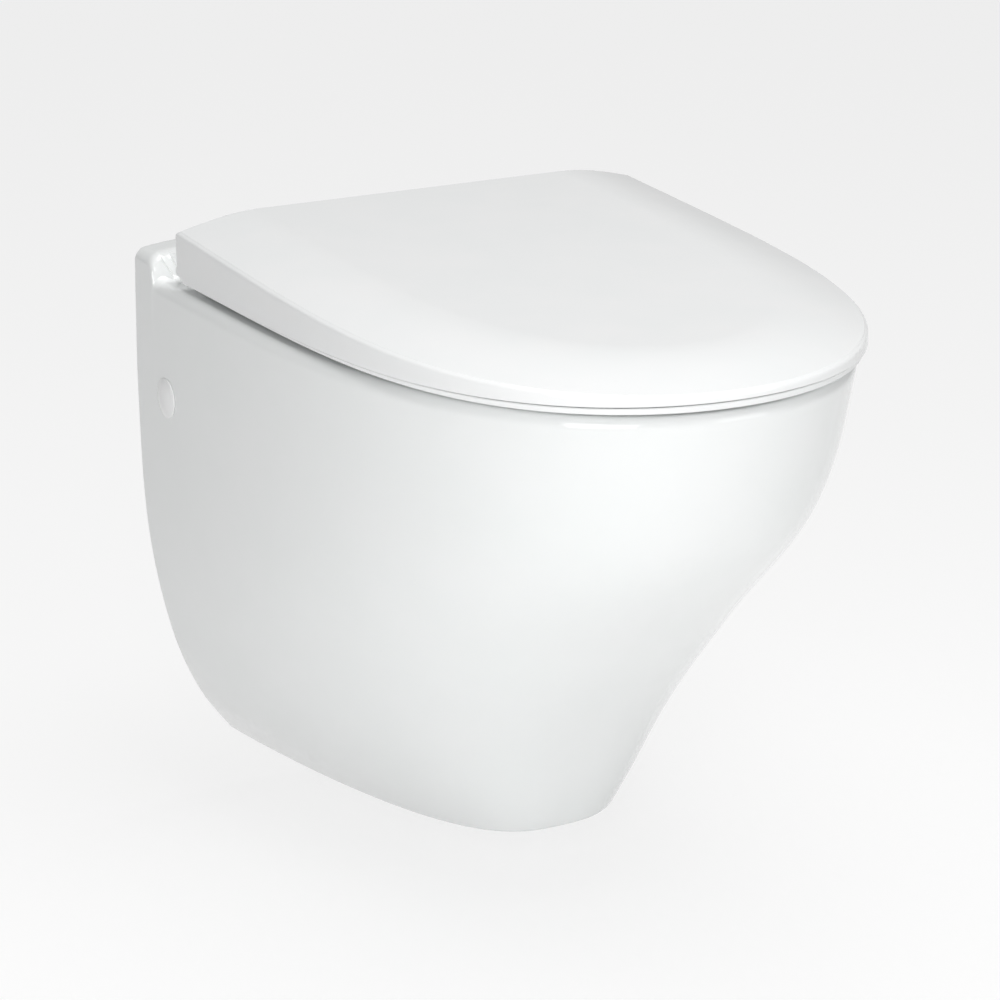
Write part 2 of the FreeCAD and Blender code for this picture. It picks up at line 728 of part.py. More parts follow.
def side_cap(side):
    """The domed white cap over the side hole, with the spigot that holds it in the sleeve."""
    face, dome = side_cap_face, side_cap_dome
    dome_radius = (side_cap_radius**2 + dome**2) / (2 * dome)
    centre = side_point(side, face + 0.9 + dome - dome_radius)
    disc = rod(side_cap_radius, side_point(side, face), side_point(side, face + 5))
    cap = disc.common(Part.makeSphere(dome_radius, centre))
    start, end = side_point(side, screw_head[2] + 0.5), side_point(side, face + 0.3)
    return cap.fuse(tube(screw_head[0] + 0.5, 5.5, start, end))


def lid_pad(x, y):
    return buffer(x, y, rim_z + seat_top + 0.15, lid_boss_z, lid_buffer_radius, lid_boss_z + 3.5)


def seat_pad(x, y):
    return buffer(x, y, rim_z + 0.2, rim_z + seat_bottom, seat_buffer_radius, rim_z + 8.5)


def main():
    pieces = {"toilet_pan": toilet_pan(), "lid": lid(), "seat_ring": seat_ring()}
    pieces["lid_buffers"] = Part.makeCompound([lid_pad(x, y) for x, y in lid_buffer_places])
    pieces["seat_buffers_front"] = Part.makeCompound([seat_pad(x, y) for x, y in seat_front_buffers])
    pieces["seat_buffers_rear"] = Part.makeCompound([seat_pad(x, y) for x, y in seat_rear_buffers])
    for side, name in ((-1, "left"), (1, "right")):
        for make in (
            hinge_base,
            hinge_post,
            hinge_bolt,
            expansion_sleeve,
            expansion_nut,
            hinge_pin,
            fixing_block,
            stud_washer,
            stud_nut,
            side_screw,
            side_sleeve,
            side_cap,
        ):
            pieces[f"{make.__name__}_{name}"] = make(side)
    pieces["lid_damper"] = barrel_filler(-1, lid_barrel, True, True)
    pieces["lid_pivot_bush"] = barrel_filler(1, lid_barrel, True, False)
    pieces["seat_damper"] = barrel_filler(1, seat_barrel, False, True)
    pieces["seat_pivot_bush"] = barrel_filler(-1, seat_barrel, False, False)
    for node, shape in pieces.items():
        print(node, shape.isValid(), len(shape.Solids), round(shape.Volume / 1000, 2))
        save(shape, node)


main()
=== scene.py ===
import json
import math

import bmesh
import bpy
from mathutils import Matrix, Vector


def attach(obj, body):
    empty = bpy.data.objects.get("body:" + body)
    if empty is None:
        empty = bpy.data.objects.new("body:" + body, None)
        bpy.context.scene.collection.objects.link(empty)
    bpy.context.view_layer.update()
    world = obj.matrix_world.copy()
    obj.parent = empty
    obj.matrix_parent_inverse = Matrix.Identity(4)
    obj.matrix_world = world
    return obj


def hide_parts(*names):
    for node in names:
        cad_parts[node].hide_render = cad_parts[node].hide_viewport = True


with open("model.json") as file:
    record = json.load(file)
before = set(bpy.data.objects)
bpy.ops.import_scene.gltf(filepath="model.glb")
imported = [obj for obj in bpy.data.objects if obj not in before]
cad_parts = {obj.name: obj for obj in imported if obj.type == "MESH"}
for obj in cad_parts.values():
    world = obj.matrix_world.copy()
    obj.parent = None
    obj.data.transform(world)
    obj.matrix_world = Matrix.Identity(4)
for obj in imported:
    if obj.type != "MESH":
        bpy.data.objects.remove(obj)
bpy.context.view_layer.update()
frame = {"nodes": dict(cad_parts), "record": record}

mm = 0.001  # sizes below are in millimetres and become metres as a mesh is finished
rimZ = 78.0  # the rim over the wall studs
farOut = 300.0  # past the part's sides, for the tools that cut right across it
eggRoundness = 2.2  # of the bowl's and the seat opening's ovals


# finishes

def toLinear(hexColour):
    channels = [int(hexColour[i:i + 2], 16) / 255 for i in (1, 3, 5)]
    return [c / 12.92 if c <= 0.04045 else ((c + 0.055) / 1.055) ** 2.4 for c in channels] + [1.0]


def perMetre(size):
    # a pattern's scale from the size of its marks in millimetres
    return 1000.0 / size


def newFinish(name, colour, roughness, ior=1.5, metallic=0.0):
    material = bpy.data.materials.new(name)
    material.use_nodes = True
    shader = material.node_tree.nodes["Principled BSDF"]
    shader.inputs["Base Color"].default_value = toLinear(colour)
    shader.inputs["Roughness"].default_value = roughness
    shader.inputs["IOR"].default_value = ior
    shader.inputs["Metallic"].default_value = metallic
    return material, shader


def addNode(material, kind, settings=None, inputs=None, links=None):
    tree = material.node_tree
    node = tree.nodes.new(kind)
    for key, value in (settings or {}).items():
        setattr(node, key, value)
    for key, value in (inputs or {}).items():
        node.inputs[key].default_value = value
    for key, socket in (links or {}).items():
        tree.links.new(socket, node.inputs[key])
    return node


def marks(material, scale, detail=2.0, stretch=None):
    # soft noise over the piece; stretch draws it out along an axis
    where = addNode(material, "ShaderNodeTexCoord").outputs["Object"]
    if stretch is not None:
        where = addNode(material, "ShaderNodeMapping", inputs={"Scale": stretch},
                        links={"Vector": where}).outputs["Vector"]
    return addNode(material, "ShaderNodeTexNoise", inputs={"Scale": scale, "Detail": detail},
                   links={"Vector": where}).outputs["Fac"]


def vary(material, shader, noise, dark, light, smoothest, roughest):
    # colour and roughness drift between two values with the noise
    colours = addNode(material, "ShaderNodeMix", {"data_type": "RGBA"},
                      {6: toLinear(dark), 7: toLinear(light)}, {0: noise})
    material.node_tree.links.new(colours.outputs[2], shader.inputs["Base Color"])
    rough = addNode(material, "ShaderNodeMapRange", inputs={"To Min": smoothest, "To Max": roughest},
                    links={"Value": noise})
    material.node_tree.links.new(rough.outputs["Result"], shader.inputs["Roughness"])


def relief(material, shader, noise, depth, strength=1.0):
    # a fine bump, its depth in millimetres
    bump = addNode(material, "ShaderNodeBump", inputs={"Distance": depth * mm, "Strength": strength},
                   links={"Height": noise})
    material.node_tree.links.new(bump.outputs["Normal"], shader.inputs["Normal"])


# vitreous china under a fired glaze: wet gloss, with the faint ripple and tone of a dipped glaze
glazedVitreousChina, shader = newFinish("glazedVitreousChina", "#f0f2f1", 0.06, 1.52)
vary(glazedVitreousChina, shader, marks(glazedVitreousChina, perMetre(70)), "#eef1f0", "#f3f4f4", 0.05, 0.09)
relief(glazedVitreousChina, shader, marks(glazedVitreousChina, perMetre(14), 1.0), 0.05, 0.35)
shader.inputs["Coat Weight"].default_value = 0.35
shader.inputs["Coat Roughness"].default_value = 0.03

# the fired body where no glaze goes: the wall side and the hollow, dull, warm and finely grainy
unglazedChinaBody, shader = newFinish("unglazedChinaBody", "#e4e0d7", 0.8, 1.5)
vary(unglazedChinaBody, shader, marks(unglazedChinaBody, perMetre(9), 5.0), "#ddd8cd", "#ebe7df", 0.72, 0.9)
relief(unglazedChinaBody, shader, marks(unglazedChinaBody, perMetre(0.9), 3.0), 0.06, 0.6)

# compression moulded urea, polished in the mould: even, slightly softer gloss than the china
polishedDuroplast, shader = newFinish("polishedDuroplast", "#f3f4f4", 0.12, 1.6)
vary(polishedDuroplast, shader, marks(polishedDuroplast, perMetre(45)), "#f1f3f3", "#f6f6f6", 0.11, 0.16)
relief(polishedDuroplast, shader, marks(polishedDuroplast, perMetre(6), 1.0), 0.02, 0.3)

# cast and brushed stainless steel: grey with fine lines that run along the hinge line
brushedStainlessSteel, shader = newFinish("brushedStainlessSteel", "#c2c1bd", 0.3, metallic=1.0)
brushing = marks(brushedStainlessSteel, 1.0, 3.0, (perMetre(30), perMetre(0.5), perMetre(0.5)))
vary(brushedStainlessSteel, shader, brushing, "#b4b3af", "#cfcecb", 0.24, 0.4)
relief(brushedStainlessSteel, shader, brushing, 0.02, 0.5)

# bright zinc plate on the wall fixings: bluish, a little cloudy
zincPlatedSteel, shader = newFinish("zincPlatedSteel", "#bfc3c9", 0.34, metallic=1.0)
vary(zincPlatedSteel, shader, marks(zincPlatedSteel, perMetre(4), 4.0), "#aeb3ba", "#cfd2d6", 0.26, 0.44)
relief(zincPlatedSteel, shader, marks(zincPlatedSteel, perMetre(1.2)), 0.02, 0.4)

# moulded EPDM rubber: matt black with a grey bloom
mouldedEpdmRubber, shader = newFinish("mouldedEpdmRubber", "#1b1b1b", 0.8, 1.52)
vary(mouldedEpdmRubber, shader, marks(mouldedEpdmRubber, perMetre(5), 4.0), "#161616", "#2b2b2a", 0.7, 0.92)
relief(mouldedEpdmRubber, shader, marks(mouldedEpdmRubber, perMetre(0.8)), 0.03, 0.6)

# soft thermoplastic rubber pads: pale grey, dull
paleBufferRubber, shader = newFinish("paleBufferRubber", "#d7d7d2", 0.6, 1.5)
vary(paleBufferRubber, shader, marks(paleBufferRubber, perMetre(6), 3.0), "#cfcfca", "#dededa", 0.52, 0.7)
relief(paleBufferRubber, shader, marks(paleBufferRubber, perMetre(1.0)), 0.03, 0.5)

# glass filled nylon blocks: black, satin, with the pale flow marks of the fibres
glassFilledNylon, shader = newFinish("glassFilledNylon", "#1f1f21", 0.45, 1.53)
fibres = marks(glassFilledNylon, 1.0, 4.0, (perMetre(3), perMetre(0.8), perMetre(3)))
vary(glassFilledNylon, shader, fibres, "#17171a", "#2f2f33", 0.38, 0.58)
relief(glassFilledNylon, shader, fibres, 0.03, 0.5)

# unpigmented nylon bushes: milky, cloudy and slightly waxy
naturalNylon, shader = newFinish("naturalNylon", "#e6e1d2", 0.38, 1.53)
vary(naturalNylon, shader, marks(naturalNylon, perMetre(7), 3.0), "#ded8c6", "#eeeadd", 0.32, 0.46)
relief(naturalNylon, shader, marks(naturalNylon, perMetre(1.5)), 0.02, 0.4)

# turned acetal damper bodies: dark grey with fine lathe rings
turnedAcetal, shader = newFinish("turnedAcetal", "#2c2d31", 0.32, 1.48)
rings = marks(turnedAcetal, 1.0, 1.0, (perMetre(0.6), 1.0, 1.0))
vary(turnedAcetal, shader, rings, "#26272b", "#35363b", 0.26, 0.42)
relief(turnedAcetal, shader, rings, 0.02, 0.5)

# injection moulded ABS caps: white, glossy, a touch softer than the glaze round them
mouldedWhiteAbs, shader = newFinish("mouldedWhiteAbs", "#f4f5f5", 0.18, 1.54)
vary(mouldedWhiteAbs, shader, marks(mouldedWhiteAbs, perMetre(10)), "#f1f2f2", "#f7f7f7", 0.15, 0.24)
relief(mouldedWhiteAbs, shader, marks(mouldedWhiteAbs, perMetre(2.0)), 0.01, 0.3)

finishOf = {
    "glazed_china": glazedVitreousChina, "duroplast": polishedDuroplast,
    "stainless_steel": brushedStainlessSteel, "zinc_plated_steel": zincPlatedSteel,
    "epdm": mouldedEpdmRubber, "buffer_rubber": paleBufferRubber, "nylon": glassFilledNylon,
    "natural_nylon": naturalNylon, "acetal": turnedAcetal, "white_abs": mouldedWhiteAbs,
}


def dress(obj, *materials):
    obj.data.materials.clear()
    for material in materials:
        obj.data.materials.append(material)


# curves and outlines

def curveThrough(table):
    # a smooth value through (key, value) pairs
    keys = [pair[0] for pair in table]
    values = [pair[1] for pair in table]
    last = len(keys) - 1

    def slope(i):
        low, high = max(i - 1, 0), min(i + 1, last)
        return (values[high] - values[low]) / (keys[high] - keys[low])

    def at(key):
        i = max(k for k in range(last) if k == 0 or keys[k] <= key)
        run = keys[i + 1] - keys[i]
        t = (key - keys[i]) / run
        rise = values[i + 1] - values[i]
        a = slope(i) * run - rise
        b = rise - slope(i + 1) * run
        return values[i] + t * rise + t * (1 - t) * (a * (1 - t) + b * t)

    return at


def alongLine(points, places):
    # the points at these shares of the way along a line
    lengths = [0.0]
    for a, b in zip(points, points[1:]):
        lengths.append(lengths[-1] + math.dist(a, b))
    found = []
    i = 0
    for place in places:
        wanted = place * lengths[-1]
        while i < len(points) - 2 and lengths[i + 1] < wanted:
            i += 1
        t = (wanted - lengths[i]) / max(lengths[i + 1] - lengths[i], 1e-9)
        found.append(tuple(p + (q - p) * min(t, 1.0) for p, q in zip(points[i], points[i + 1])))
    return found


def sharesFromEnds(length, closeStep, closeRun, middleCount):
    # shares along a line: close together near both ends, even between
    near = [closeStep * i for i in range(int(closeRun / closeStep) + 1)]
    rest = (length / 2 - near[-1]) / middleCount
    half = near + [near[-1] + rest * (i + 1) for i in range(middleCount)]
    shares = [d / length for d in half]
    return shares + [1.0 - s for s in reversed(shares[:-1])]


def noseOutline(half, front, squareness, bluntness, wallY, spread, startY=0.0):
    # from the right rear corner round the nose to the left one, in plan
    steps = 160
    side = []
    for i in range(steps + 1):
        angle = math.pi / 2 * (i / steps) ** 2.2
        x = half * max(math.cos(angle), 0.0) ** (2 / bluntness)
        y = startY + (front - startY) * math.sin(angle) ** (2 / squareness)
        side.append((x, -y))
    side[-1] = (0.0, -front)
    if wallY > -startY:
        side = [(half, wallY)] + side
    whole = side + [(-x, y) for x, y in reversed(side[:-1])]
    return alongLine(whole, spread)


def acrossBack(half, y, count):
    # the points between the two rear corners, from left to right
    return [(-half + 2 * half * (i + 1) / (count + 1), y) for i in range(count)]


# meshes

def startLoop(bm, points):
    made = bmesh.ops.create_circle(bm, segments=len(points), radius=1)
    for vert, point in zip(made["verts"], points):
        vert.co = point
    return made["verts"]


def loopEdges(bm, verts):
    return [bm.edges.get((a, b)) for a, b in zip(verts, verts[1:] + verts[:1])]


def growLoop(bm, verts, points):
    # extrudes a loop and puts its new points in place
    made = bmesh.ops.extrude_edge_only(bm, edges=loopEdges(bm, verts))["geom"]
    fresh = {g for g in made if isinstance(g, bmesh.types.BMVert)}
    grown = []
    for vert, point in zip(verts, points):
        twin = next(e.other_vert(vert) for e in vert.link_edges if e.other_vert(vert) in fresh)
        twin.co = point
        grown.append(twin)
    return grown


def capLoop(bm, verts):
    bmesh.ops.contextual_create(bm, geom=loopEdges(bm, verts))


def skinOver(rings, capFirst=True, capLast=True):
    # a closed form through rings of points
    bm = bmesh.new()
    verts = startLoop(bm, rings[0])
    if capFirst:
        capLoop(bm, verts)
    for ring in rings[1:]:
        verts = growLoop(bm, verts, ring)
    if capLast:
        capLoop(bm, verts)
    return bm, verts


def fillAcross(bm, verts, noseCount, backCount, heightAt):
    # a grid over a loop's top, with rows that run across from side to side
    edges = loopEdges(bm, verts)
    half = backCount // 2 + 1
    middle = (noseCount - 1) // 2
    front = edges[middle - half:middle + half]
    back = edges[noseCount - 1:]
    before = set(bm.verts)
    bmesh.ops.grid_fill(bm, edges=front + back, use_interp_simple=True)
    for vert in bm.verts:
        if vert not in before:
            vert.co.z = heightAt(vert.co.x, vert.co.y)


def toObject(bm, name):
    bmesh.ops.recalc_face_normals(bm, faces=bm.faces)
    bmesh.ops.scale(bm, vec=(mm, mm, mm), verts=bm.verts)
    mesh = bpy.data.meshes.new(name)
    bm.to_mesh(mesh)
    bm.free()
    obj = bpy.data.objects.new(name, mesh)
    bpy.context.scene.collection.objects.link(obj)
    return obj


def applyModifiers(obj):
    graph = bpy.context.evaluated_depsgraph_get()
    mesh = bpy.data.meshes.new_from_object(obj.evaluated_get(graph))
    obj.modifiers.clear()
    old, obj.data = obj.data, mesh
    bpy.data.meshes.remove(old)


def carve(target, tools, operation, finish=0):
    # joins the tools to a solid, or cuts them from it, then clears them away
    for tool in tools:
        for material in target.data.materials:
            tool.data.materials.append(material)
        tool.data.polygons.foreach_set("material_index", [finish] * len(tool.data.polygons))
        mod = target.modifiers.new("carve", "BOOLEAN")
        mod.solver = "EXACT"
        mod.operation = operation
        mod.object = tool
        applyModifiers(target)
        bpy.data.meshes.remove(tool.data)


def smoothShade(obj, angle=32):
    mesh = obj.data
    mesh.shade_smooth()
    mesh.set_sharp_from_angle(angle=math.radians(angle))


def circlePoints(centre, radius, count, turn=None):
    # a ring in the XZ plane, turned about X if asked
    points = []
    for i in range(count):
        a = 2 * math.pi * i / count
        p = Vector((radius * math.cos(a), 0, radius * math.sin(a)))
        if turn is not None:
            p = Matrix.Rotation(turn, 3, "X") @ p
        points.append(Vector(centre) + p)
    return points


def roundBar(name, start, end, radius, endRadius=None, count=64):
    start, end = Vector(start), Vector(end)
    bm = bmesh.new()
    made = bmesh.ops.create_cone(
        bm, cap_ends=True, segments=count, radius1=radius, radius2=endRadius or radius,
        depth=(end - start).length)
    turn = (end - start).to_track_quat("Z", "Y").to_matrix().to_4x4()
    bmesh.ops.transform(bm, matrix=Matrix.Translation((start + end) / 2) @ turn, verts=made["verts"])
    return toObject(bm, name)


def prismBar(name, outline, x0, x1):
    # a (y, z) outline carried from x0 to x1
    bm, verts = skinOver([[(x, y, z) for y, z in outline] for x in (x0, x1)])
    return toObject(bm, name)


def turned(name, profile, axisY, axisZ, count=96):
    # an (x, radius) profile spun about a line along X
    bm = bmesh.new()
    verts = [bm.verts.new((x, axisY, axisZ + radius)) for x, radius in profile]
    for a, b in zip(verts, verts[1:]):
        bm.edges.new((a, b))
    bmesh.ops.spin(bm, geom=bm.verts[:] + bm.edges[:], cent=(0, axisY, axisZ), axis=(1, 0, 0),
                   angle=2 * math.pi, steps=count, use_merge=True)
    bmesh.ops.remove_doubles(bm, verts=bm.verts, dist=1e-4)
    return toObject(bm, name)


def dropSide(bm, place, normal, finish=0):
    # clears what lies beyond a plane and closes the cut
    geom = bm.verts[:] + bm.edges[:] + bm.faces[:]
    cut = bmesh.ops.bisect_plane(bm, geom=geom, plane_co=place, plane_no=normal, clear_outer=True)
    edges = [g for g in cut["geom_cut"] if isinstance(g, bmesh.types.BMEdge)]
    for face in bmesh.ops.holes_fill(bm, edges=edges)["faces"]:
        face.material_index = finish


def block(name, low, high):
    bm = bmesh.new()
    bmesh.ops.create_cube(bm, size=1)
    low, high = Vector(low), Vector(high)
    bmesh.ops.scale(bm, vec=high - low, verts=bm.verts)
    bmesh.ops.translate(bm, vec=(low + high) / 2, verts=bm.verts)
    return toObject(bm, name)


# the china pan

pan = dict(
    halfWidth=[(-45, 185), (0, 188), (90, 189.2), (190, 184.8), (270, 169), (320, 148.5), (355, 124)],
    reach=[(-45, 490), (0, 487), (100, 450.5), (200, 358.5), (280, 298.5), (355, 270)],
    height=355, sideSquareness=(4.0, 1.1), noseBluntness=(2.0, 2.83), wall=11, rimThickness=13,
    flange=20, rimRadius=8, footRadius=3, ledgeHeight=21, ledgeEndHeight=16.5, ledgeDepth=20,
    ledgeRun=37, ledgeLevel=140, closeStep=1.6, closeRun=96, noseSteps=92, backSteps=59,
)
bowl = dict(
    sections=[
        (-4, 446, 171, 117), (8, 446, 171, 117), (26, 453, 164, 124), (52, 444, 170, 118),
        (100, 405, 184, 100), (150, 361, 193, 79), (200, 314, 197, 57), (250, 276, 194, 42),
        (304, 258, 192, 33)],
    wall=10, mouthRadius=5, sumpDepth=301, sumpReach=225, trapRadius=36, bendRadius=70, riseAngle=60,
    outletBelow=100, spigotRadius=51, inletAbove=35, inletRadius=28,
)
hinge = dict(
    axisY=-52, axisZ=rimZ + 22, holeX=77.5, holeReach=62, holeRadius=7, barrelRadius=8.5,
    lidBarrel=(22, 64), seatBarrel=(91, 133), notch=(57, 98),
)
sideFixing = dict(reach=50, holeRadius=11, capFace=189.3, capRadius=14.2, capEdge=0.9, capDome=2.6)
panHalfAt, panReachAt = curveThrough(pan["halfWidth"]), curveThrough(pan["reach"])
behindWall = 40.0


def ledgeRise(x, y):
    # how far the ledge stands over the rim at a place
    d = pan
    low, high = d["ledgeEndHeight"], d["ledgeHeight"]
    share = min(max((abs(x) - d["ledgeLevel"]) / 50.0, 0.0), 1.0)
    top = high - (high - low) * share ** 1.6
    run = d["ledgeRun"] - d["ledgeDepth"]
    t = min(max((-y - d["ledgeDepth"]) / run, 0.0), 1.0)
    radius = (run * run + high * high) / (4 * high)
    # two equal arcs make the S
    if t < 0.5:
        drop = radius - math.sqrt(radius ** 2 - (t * run) ** 2)
    else:
        drop = high - radius + math.sqrt(radius ** 2 - ((1 - t) * run) ** 2)
    return top * (1 - drop / high)


def panOutline(depth, inset):
    d = pan
    share = min(max(depth / d["height"], 0.0), 1.0)
    square = d["sideSquareness"][0] + (d["sideSquareness"][1] - d["sideSquareness"][0]) * share
    blunt = d["noseBluntness"][0] + (d["noseBluntness"][1] - d["noseBluntness"][0]) * share
    half, front = panHalfAt(depth) - inset, panReachAt(depth) - inset
    spread = sharesFromEnds(2 * front + half, d["closeStep"], d["closeRun"], d["noseSteps"])
    return noseOutline(half, front, square, blunt, behindWall, spread), half


def panRing(depth, inset, lift=None, drop=0.0):
    # one closed ring; near the top each point follows the ledge instead of a level plane
    nose, half = panOutline(depth, inset)
    flat = nose + acrossBack(half, behindWall, pan["backSteps"])
    ring = []
    for x, y in flat:
        z = rimZ - depth
        if lift is not None:
            z += ledgeRise(x, y) * lift - drop
        ring.append((x, y, z))
    return ring


def panForm():
    d = pan
    rings = []
    r = d["footRadius"]
    for i in range(4):
        a = math.pi / 2 * i / 4
        rings.append(panRing(d["height"] - r + r * math.cos(a), r * (1 - math.sin(a))))
    sideSteps = 58
    low, high = d["height"] - r, 40.0
    for i in range(sideSteps + 1):
        rings.append(panRing(low + (high - low) * i / sideSteps, 0.0))
    topSteps = 8
    edge = d["rimRadius"]
    for i in range(1, topSteps + 1):
        t = i / topSteps
        rings.append(panRing(high + (edge - high) * t, 0.0, lift=t))
    for i in range(1, 9):
        a = math.pi / 2 * i / 8
        rings.append(panRing(edge * (1 - math.sin(a)), edge * (1 - math.cos(a)), lift=1.0))
    bm, verts = skinOver(rings, capLast=False)
    fillAcross(bm, verts, len(verts) - d["backSteps"], d["backSteps"],
               lambda x, y: rimZ + ledgeRise(x, y))
    bmesh.ops.dissolve_degenerate(bm, dist=1e-4, edges=bm.edges)
    dropSide(bm, (0, 0, 0), (0, 1, 0), finish=1)
    return toObject(bm, "toiletPan")


def eggRing(front, rear, half, z, count=96):
    middle, reach = -(front + rear) / 2, (front - rear) / 2
    ring = []
    for i in range(count):
        a = 2 * math.pi * i / count
        c, s = math.cos(a), math.sin(a)
        x = math.copysign(abs(c) ** (2 / eggRoundness), c) * half
        ring.append((x, middle + math.copysign(abs(s) ** (2 / eggRoundness), s) * reach, z))
    return ring


def bowlForm(grow):
    d = bowl
    fronts, rears, halves = [curveThrough([(row[0], row[k]) for row in d["sections"]]) for k in (1, 2, 3)]
    if grow:
        depths = [1.0 + 303.0 * i / 50 for i in range(51)]
    else:
        depths = [-6.0, 0.3] + [d["mouthRadius"] * i / 5 for i in range(1, 6)]
        depths += [8.0 + 296.0 * i / 100 for i in range(101)]
    rings = []
    for depth in depths:
        r = d["mouthRadius"]
        flare = 0.0
        if not grow and depth < r:
            flare = r + 2.0 if depth < 0 else r - math.sqrt(r * r - (r - depth) ** 2)
        g = grow + flare
        at = max(depth, -4.0)
        rings.append(eggRing(fronts(at) + g, rears(at) - g, halves(at) + g, rimZ - depth))
    return toObject(skinOver(rings)[0], "bowlForm")


def trapForm(radius, count=64):
    d = bowl
    rise = math.radians(d["riseAngle"])
    bend = d["bendRadius"]
    low, high = rimZ - d["sumpDepth"], -d["outletBelow"]
    straight = (high - low - 2 * bend * (1 - math.cos(rise))) / math.sin(rise)
    start = Vector((0, -d["sumpReach"], low))
    foot = start + Vector((0, 33, 0))
    pivot = foot + Vector((0, 0, bend))
    rings = [circlePoints(start, radius, count)]
    steps = 20
    for i in range(steps + 1):
        a = rise * i / steps
        centre = pivot + Vector((0, math.sin(a), -math.cos(a))) * bend
        rings.append(circlePoints(centre, radius, count, a))
    top = centre + Vector((0, math.cos(rise), math.sin(rise))) * straight
    pivot = top + Vector((0, math.sin(rise), -math.cos(rise))) * bend
    for i in range(steps + 1):
        a = rise * (1 - i / steps)
        centre = pivot + Vector((0, -math.sin(a), math.cos(a))) * bend
        rings.append(circlePoints(centre, radius, count, a))
    rings.append(circlePoints((0, -6, high), radius, count))
    return toObject(skinOver(rings)[0], "trapForm")


def ballForm(radius):
    bm = bmesh.new()
    bmesh.ops.create_uvsphere(bm, u_segments=64, v_segments=32, radius=radius)
    bmesh.ops.translate(bm, vec=(0, -bowl["sumpReach"], rimZ - bowl["sumpDepth"]), verts=bm.verts)
    return toObject(bm, "ballForm")


def insideForm(inset, depthTop, depthLow, frontY, backY):
    rings = []
    steps = 30
    for i in range(steps + 1):
        rings.append(panRing(depthTop + (depthLow - depthTop) * i / steps, inset))
    bm, verts = skinOver(rings)
    for y, normal in ((frontY, -1), (backY, 1)):
        if y is not None:
            dropSide(bm, (0, y, 0), (0, normal, 0))
    return toObject(bm, "insideForm")


def makePan():
    d, b = pan, bowl
    solid = panForm()
    dress(solid, glazedVitreousChina, unglazedChinaBody)
    hollow = insideForm(d["wall"], d["rimThickness"], d["height"] - d["wall"], None, -15.0)
    mouth = insideForm(d["flange"], d["rimThickness"] + 4, d["height"] - d["flange"], -15.5, None)
    carve(solid, [hollow, mouth], "DIFFERENCE", finish=1)
    out = b["outletBelow"]
    outside = [
        bowlForm(b["wall"]), ballForm(b["trapRadius"] + b["wall"]), trapForm(b["trapRadius"] + b["wall"]),
        roundBar("inlet", (0, -175, b["inletAbove"]), (0, -0.01, b["inletAbove"]), b["inletRadius"] + 9),
        roundBar("spigot", (0, -52, -out), (0, -6, -out), b["spigotRadius"], count=96)]
    carve(solid, outside, "UNION", finish=1)
    inside = [
        bowlForm(0.0), ballForm(b["trapRadius"]), trapForm(b["trapRadius"]),
        roundBar("bore", (0, -110, b["inletAbove"]), (0, 5, b["inletAbove"]), b["inletRadius"]),
        block("slot", (-34, -180, b["inletAbove"] + 2), (34, -105, b["inletAbove"] + 20)),
        roundBar("cone", (0, -46, -out), (0, -4, -out), b["trapRadius"], b["trapRadius"] + 7)]
    y, deep = -hinge["holeReach"], -sideFixing["reach"]
    for side in (-1, 1):
        x = side * hinge["holeX"]
        inside.append(roundBar("hole", (x, y, rimZ - 40), (x, y, rimZ + 20), hinge["holeRadius"]))
        low, high = (side * 140, deep, 0), (side * 220, deep, 0)
        inside.append(roundBar("hole", low, high, sideFixing["holeRadius"]))
    carve(solid, inside, "DIFFERENCE")
    smoothShade(solid)
    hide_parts("toilet_pan")
    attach(solid, "pan")
    print("pan made:", len(solid.data.polygons), "faces")


# the lid

lid = dict(
    halfWidth=180, rear=53, front=489.3, squareness=4.5, bluntness=2.0, skirtBottom=(5.1, 8.9),
    crease=(39.0, 13.8), crown=10.8, crownRun=62, wall=4, creaseRadius=2.5, hemRadius=13,
    rearLean=5.0, noseSteps=150, backSteps=59, opening=142, seatGap=0.7,
    arm=[(-58.5, 46.5), (-76, 46.5), (-59.5, 18), (-52, 22), (-53.6, 31), (-57, 40)],
    pads=[(-100, -395), (100, -395)], padTop=20, bossRadius=9,
)


def tilted(heights, y):
    share = (-y - lid["rear"]) / (lid["front"] - lid["rear"])
    return rimZ + heights[0] + (heights[1] - heights[0]) * share


def lidRing(inset, heights, rise=0.0, rearInset=None):
    d = lid
    half, front = d["halfWidth"] - inset, d["front"] - inset
    rear = d["rear"] + (inset if rearInset is None else rearInset)
    spread = [i / (2 * d["noseSteps"]) for i in range(2 * d["noseSteps"] + 1)]
    nose = noseOutline(half, front, d["squareness"], d["bluntness"], -rear, spread, rear)
    return [(x, y, tilted(heights, y) + rise) for x, y in nose + acrossBack(half, -rear, d["backSteps"])]


def crownAt(inset):
    return lid["crown"] * math.sin(math.pi / 2 * min(inset / lid["crownRun"], 1.0))


def lidForm(wall, bottomDrop):
    d = lid
    rings = []
    steps = 6
    for i in range(steps + 1):
        t = i / steps
        low, high = d["skirtBottom"], d["crease"]
        drop = -bottomDrop * (1 - t) - (wall + d["creaseRadius"]) * t
        heights = [a + (b - a) * t for a, b in zip(low, high)]
        rings.append(lidRing(wall, heights, drop, wall))
    r = d["creaseRadius"]
    for i in range(1, 6):
        a = math.pi / 2 * i / 6
        rings.append(lidRing(wall + r * (1 - math.cos(a)), d["crease"], -wall - r * (1 - math.sin(a)),
                             wall + r * (1 - math.cos(a))))
    domeSteps = 26
    for i in range(domeSteps + 1):
        inset = r + (d["crownRun"] - r) * (i / domeSteps) ** 1.4
        rise = crownAt(inset)
        lean = r + (d["rearLean"] - r) * min(rise / d["crown"], 1.0)
        rings.append(lidRing(wall + inset, d["crease"], rise - wall, wall + lean))
    bm, verts = skinOver(rings, capLast=False)
    fillAcross(bm, verts, len(verts) - d["backSteps"], d["backSteps"],
               lambda x, y: tilted(d["crease"], y) + d["crown"] - wall)
    return toObject(bm, "lidForm")


